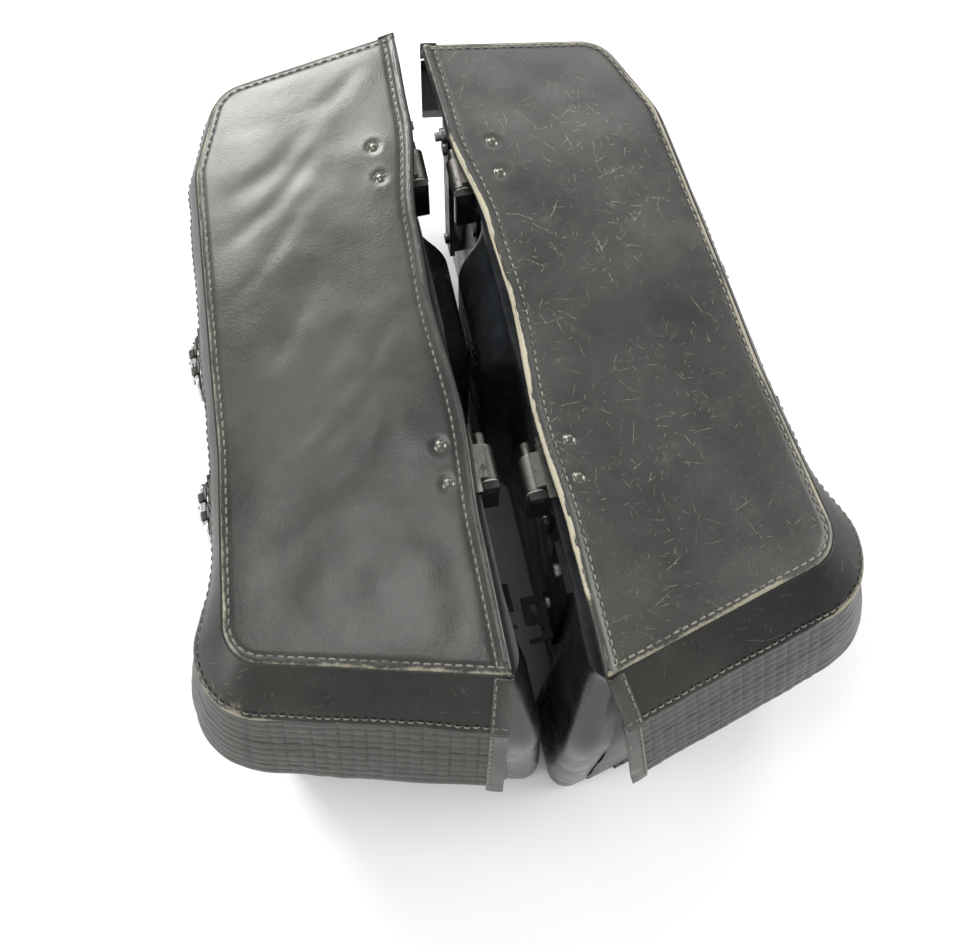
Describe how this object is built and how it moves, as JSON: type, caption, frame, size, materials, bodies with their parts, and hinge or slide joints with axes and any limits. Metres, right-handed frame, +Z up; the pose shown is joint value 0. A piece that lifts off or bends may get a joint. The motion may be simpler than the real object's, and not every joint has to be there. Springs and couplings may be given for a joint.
{
  "type": "motorcycle saddlebag pair",
  "caption": "Pair of hard-cored black leather saddlebags with crowned, hinged lids, woven end skirts, strap buckles and inboard brackets.",
  "frame": {"origin": "on the floor, midway between the two bags and midway along their length", "axes": "+X to the right bag, +Y from the woven front end to the rear end, +Z up"},
  "size_m": [0.5782, 0.6701, 0.3411],
  "materials": {
    "top_leather": "semi-gloss oiled leather, scuffed",
    "band_leather": "semi-gloss leather",
    "woven_leather": "leather embossed with a basket weave",
    "binding_leather": "rolled leather edge, worn",
    "cover_leather": "satin leather",
    "strap_leather": "satin leather strap",
    "foam": "thin foam sheet",
    "moulded_plastic": "satin moulded plastic",
    "hinge_steel": "worn steel",
    "rivet_steel": "domed steel, slightly tarnished",
    "black_steel": "black painted steel",
    "zinc_steel": "zinc plated steel",
    "white_bush": "white nylon",
    "buckle_chrome": "polished chrome"
  },
  "bodies": {
    "left_bag": {"left_tub": "moulded_plastic", "left_tub_cover": "cover_leather", "left_rim_trim": "moulded_plastic", "left_hinge_body_leaves": "black_steel", "left_hinge_pins": "hinge_steel", "left_hinge_body_rivets": "rivet_steel", "left_dock_bracket": "black_steel", "left_rear_bar": "black_steel", "left_rear_mount_stud": "zinc_steel", "left_bracket_bolts": "zinc_steel", "left_snap_studs": "rivet_steel"},
    "left_lid": {"left_lid_top": "top_leather", "left_lid_pad": "foam", "left_lid_pan": "moulded_plastic", "left_lid_band": "band_leather", "left_lid_skirt": "woven_leather", "left_lid_edge_bead": "binding_leather", "left_lid_end_bindings": "binding_leather", "left_hinge_lid_leaves": "hinge_steel", "left_hinge_bushes": "white_bush", "left_lid_rivets": "rivet_steel", "left_straps": "strap_leather", "left_buckle_chapes": "strap_leather", "left_strap_keepers": "strap_leather", "left_snap_sockets": "rivet_steel"},
    "left_front_buckle": {"left_front_buckle_frame": "buckle_chrome"},
    "left_front_prong": {"left_front_buckle_prong": "buckle_chrome"},
    "left_rear_buckle": {"left_rear_buckle_frame": "buckle_chrome"},
    "left_rear_prong": {"left_rear_buckle_prong": "buckle_chrome"},
    "right_bag": {"right_tub": "moulded_plastic", "right_tub_cover": "cover_leather", "right_rim_trim": "moulded_plastic", "right_hinge_body_leaves": "black_steel", "right_hinge_pins": "hinge_steel", "right_hinge_body_rivets": "rivet_steel", "right_dock_bracket": "black_steel", "right_rear_bar": "black_steel", "right_rear_mount_stud": "zinc_steel", "right_bracket_bolts": "zinc_steel", "right_snap_studs": "rivet_steel"},
    "right_lid": {"right_lid_top": "top_leather", "right_lid_pad": "foam", "right_lid_pan": "moulded_plastic", "right_lid_band": "band_leather", "right_lid_skirt": "woven_leather", "right_lid_edge_bead": "binding_leather", "right_lid_end_bindings": "binding_leather", "right_hinge_lid_leaves": "hinge_steel", "right_hinge_bushes": "white_bush", "right_lid_rivets": "rivet_steel", "right_straps": "strap_leather", "right_buckle_chapes": "strap_leather", "right_strap_keepers": "strap_leather", "right_snap_sockets": "rivet_steel"},
    "right_front_buckle": {"right_front_buckle_frame": "buckle_chrome"},
    "right_front_prong": {"right_front_buckle_prong": "buckle_chrome"},
    "right_rear_buckle": {"right_rear_buckle_frame": "buckle_chrome"},
    "right_rear_prong": {"right_rear_buckle_prong": "buckle_chrome"}
  },
  "joints": [
    {"name": "pair_spacing", "type": "slide", "parent": "left_bag", "child": "right_bag", "axis": [1, 0, 0], "range_m": [0, 0.25]},
    {"name": "left_lid_hinge", "type": "hinge", "parent": "left_bag", "child": "left_lid", "pos_m": [-0.017, 0, 0.315], "axis": [0, 1, 0], "range_deg": [0, 75]},
    {"name": "left_front_buckle_pivot", "type": "hinge", "parent": "left_lid", "child": "left_front_buckle", "pos_m": [-0.24389, -0.0464, 0.23935], "axis": [0, 1, 0], "range_deg": [0, 65]},
    {"name": "left_front_prong_pivot", "type": "hinge", "parent": "left_front_buckle", "child": "left_front_prong", "pos_m": [-0.24389, -0.0464, 0.23935], "axis": [0, 1, 0], "range_deg": [0, 70]},
    {"name": "left_rear_buckle_pivot", "type": "hinge", "parent": "left_lid", "child": "left_rear_buckle", "pos_m": [-0.23271, 0.0836, 0.24124], "axis": [0, 1, 0], "range_deg": [0, 65]},
    {"name": "left_rear_prong_pivot", "type": "hinge", "parent": "left_rear_buckle", "child": "left_rear_prong", "pos_m": [-0.23271, 0.0836, 0.24124], "axis": [0, 1, 0], "range_deg": [0, 70]},
    {"name": "right_lid_hinge", "type": "hinge", "parent": "right_bag", "child": "right_lid", "pos_m": [0.017, 0, 0.315], "axis": [0, -1, 0], "range_deg": [0, 75]},
    {"name": "right_front_buckle_pivot", "type": "hinge", "parent": "right_lid", "child": "right_front_buckle", "pos_m": [0.24389, -0.0624, 0.23935], "axis": [0, -1, 0], "range_deg": [0, 65]},
    {"name": "right_front_prong_pivot", "type": "hinge", "parent": "right_front_buckle", "child": "right_front_prong", "pos_m": [0.24389, -0.0624, 0.23935], "axis": [0, -1, 0], "range_deg": [0, 70]},
    {"name": "right_rear_buckle_pivot", "type": "hinge", "parent": "right_lid", "child": "right_rear_buckle", "pos_m": [0.23271, 0.0676, 0.24124], "axis": [0, -1, 0], "range_deg": [0, 65]},
    {"name": "right_rear_prong_pivot", "type": "hinge", "parent": "right_rear_buckle", "child": "right_rear_prong", "pos_m": [0.23271, 0.0676, 0.24124], "axis": [0, -1, 0], "range_deg": [0, 70]}
  ]
}
